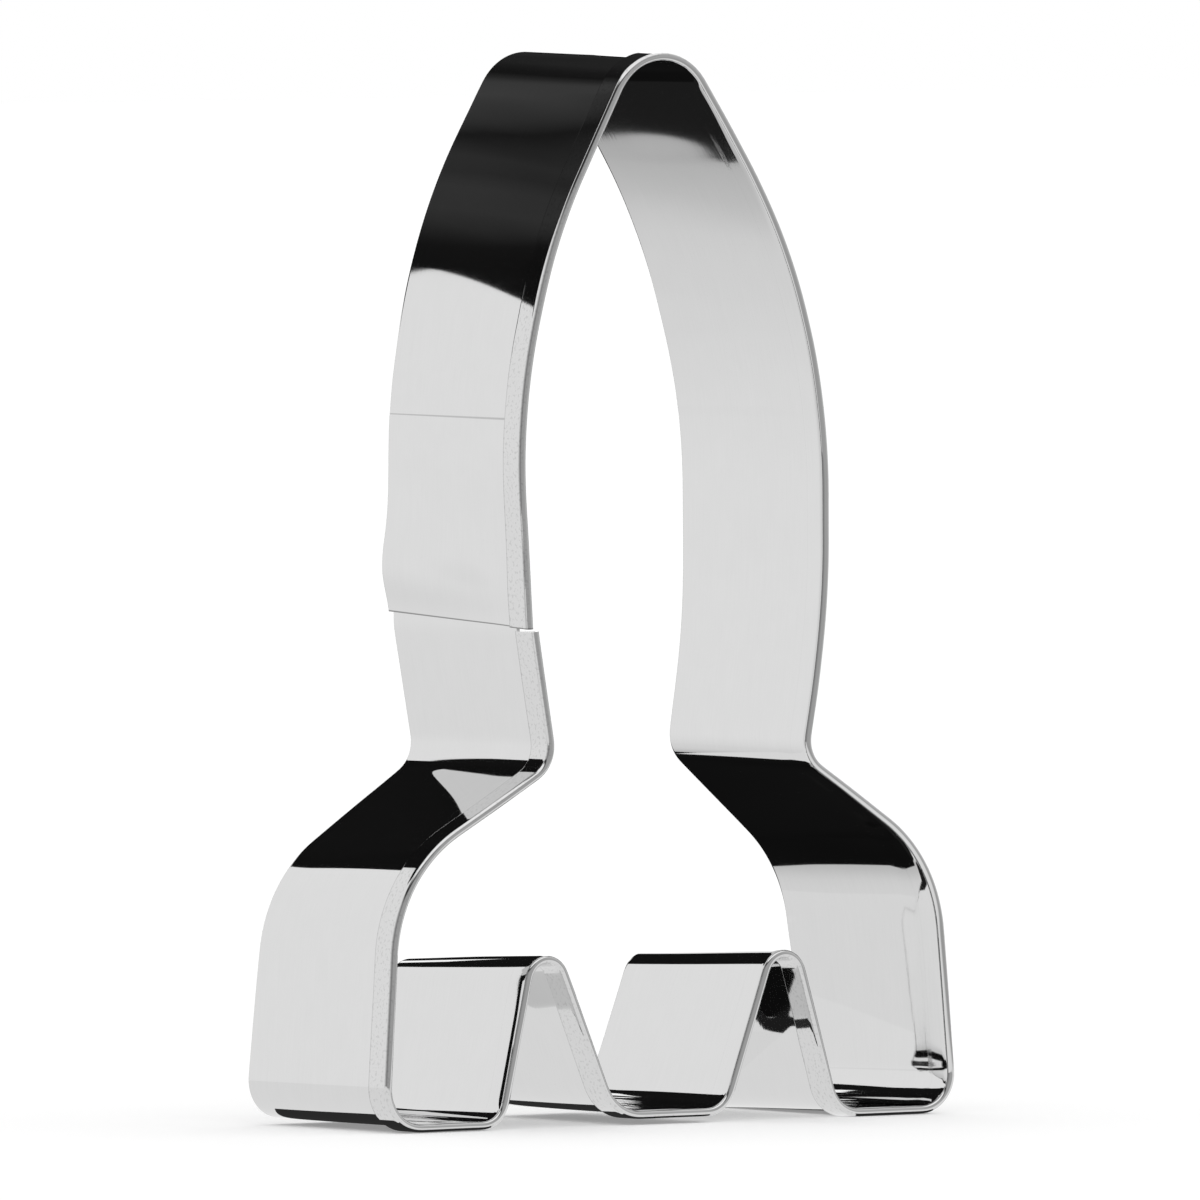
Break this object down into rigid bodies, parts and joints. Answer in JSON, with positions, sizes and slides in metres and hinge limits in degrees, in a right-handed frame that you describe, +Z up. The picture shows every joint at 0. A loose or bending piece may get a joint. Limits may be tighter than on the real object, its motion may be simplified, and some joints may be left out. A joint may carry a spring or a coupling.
{
  "type": "cookie cutter",
  "caption": "Rocket-shaped cookie cutter: a thin steel strip on edge, bent to the outline, with a hemmed rim, a bare cutting edge and a lapped, spot-welded joint.",
  "frame": {"origin": "middle of the box's bottom, on the floor that the feet stand on, midway between the rim and the cutting edge", "axes": "+X across the rocket towards its right fin as seen from the rim, +Y from the hemmed rim to the cutting edge, +Z up towards the nose"},
  "size_m": [0.0662, 0.022, 0.0999],
  "materials": {
    "polished_steel": "polished",
    "weld_steel": "satin"
  },
  "bodies": {
    "root": {"strip": "polished_steel", "spot_welds": "weld_steel"}
  },
  "joints": []
}
